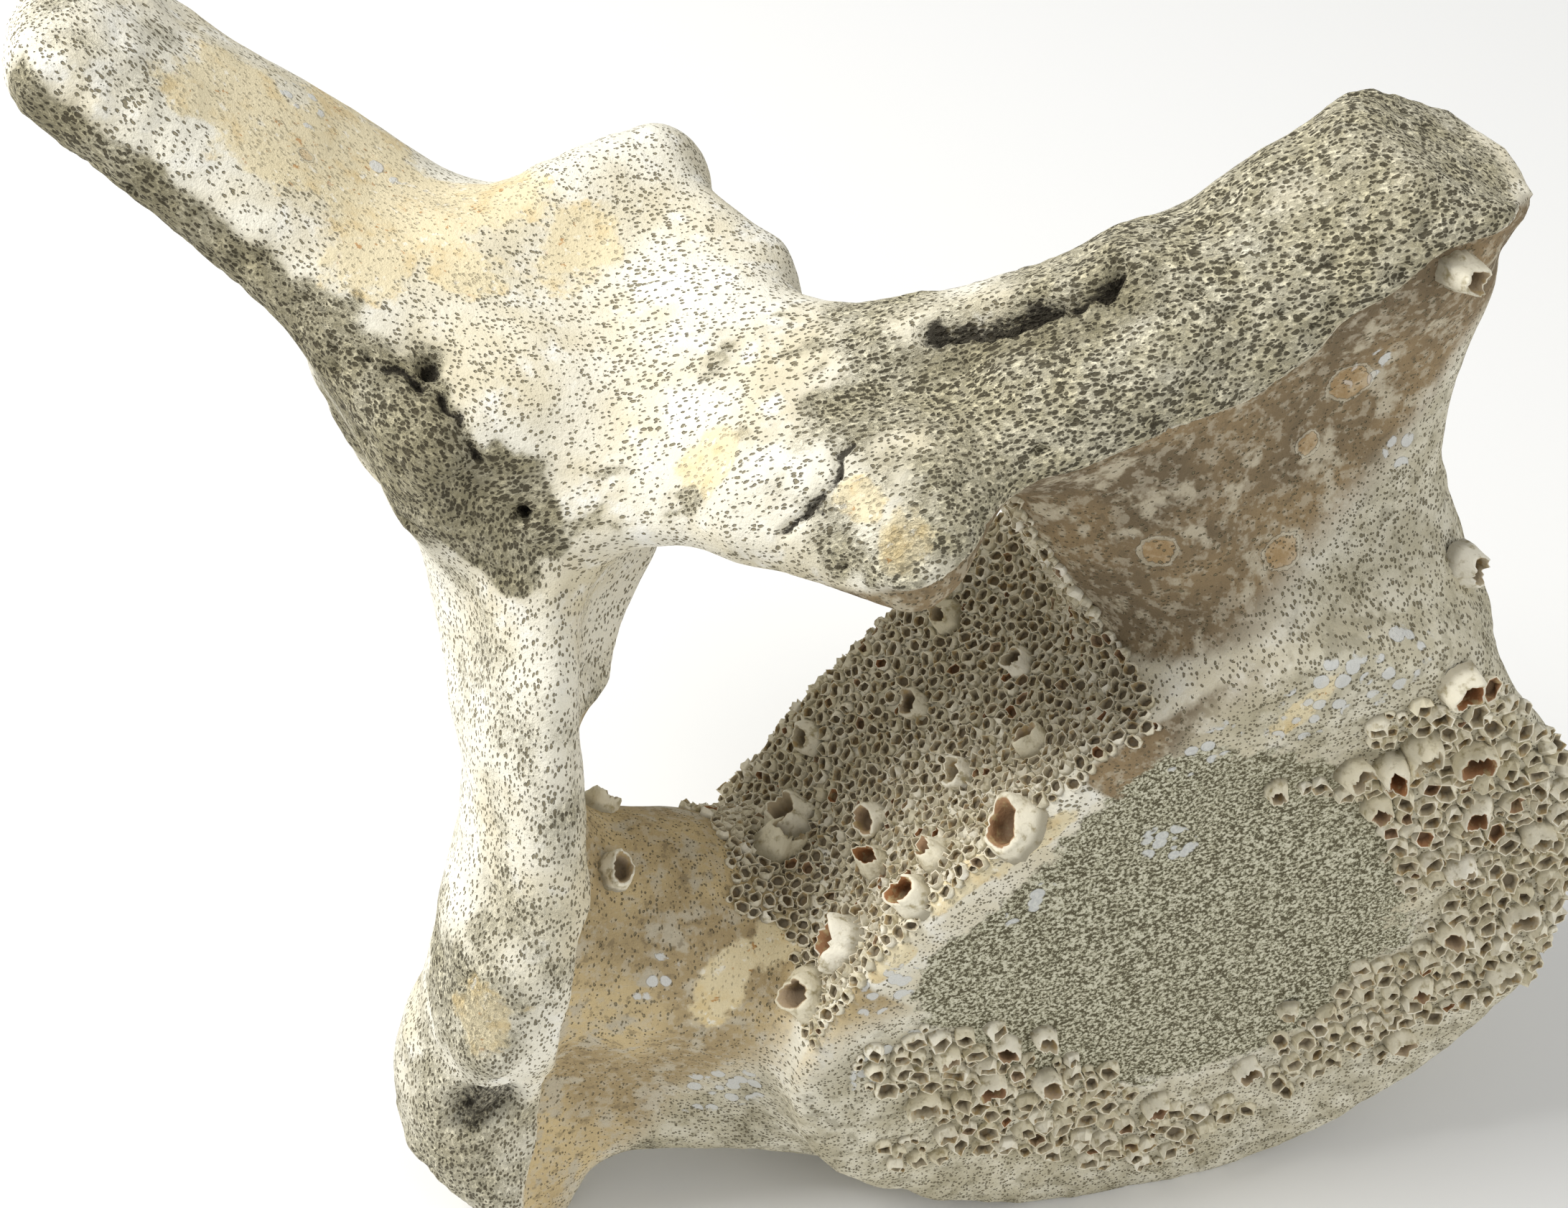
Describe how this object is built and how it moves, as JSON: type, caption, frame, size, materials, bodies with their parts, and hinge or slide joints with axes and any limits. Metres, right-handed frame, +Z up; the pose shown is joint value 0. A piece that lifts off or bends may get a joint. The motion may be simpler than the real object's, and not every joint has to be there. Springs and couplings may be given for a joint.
{
  "type": "whale vertebra",
  "caption": "Weathered vertebra of a young baleen whale: body, neural arch round a wide canal, spine and transverse processes, lying on its side.",
  "frame": {"origin": "middle of the footprint box at the level of the supporting surface, with the bone lying on its right side", "axes": "+Z up, +Y towards the tail end of the animal (the bone's own long axis), +X from the spine's tip to the left side of the body, the bone's longest side"},
  "size_m": [0.3512, 0.2088, 0.3149],
  "materials": {
    "bleached_bone": "matte, porous, sun-bleached bone",
    "spongy_bone": "matte, open spongy bone",
    "beige_smooth_bone": "matte, smooth beige bone",
    "grey_body_bone": "matte, finely pored grey-green bone",
    "barnacle_shell": "matte barnacle shell plates"
  },
  "bodies": {
    "root": {"vertebral_body": "grey_body_bone", "neural_spine": "bleached_bone", "lamina_left": "bleached_bone", "lamina_right": "bleached_bone", "transverse_process_left": "spongy_bone", "transverse_process_right": "bleached_bone", "postzygapophysis_left": "bleached_bone", "postzygapophysis_right": "bleached_bone", "pedicle_left": "beige_smooth_bone", "pedicle_right": "beige_smooth_bone"}
  },
  "joints": []
}
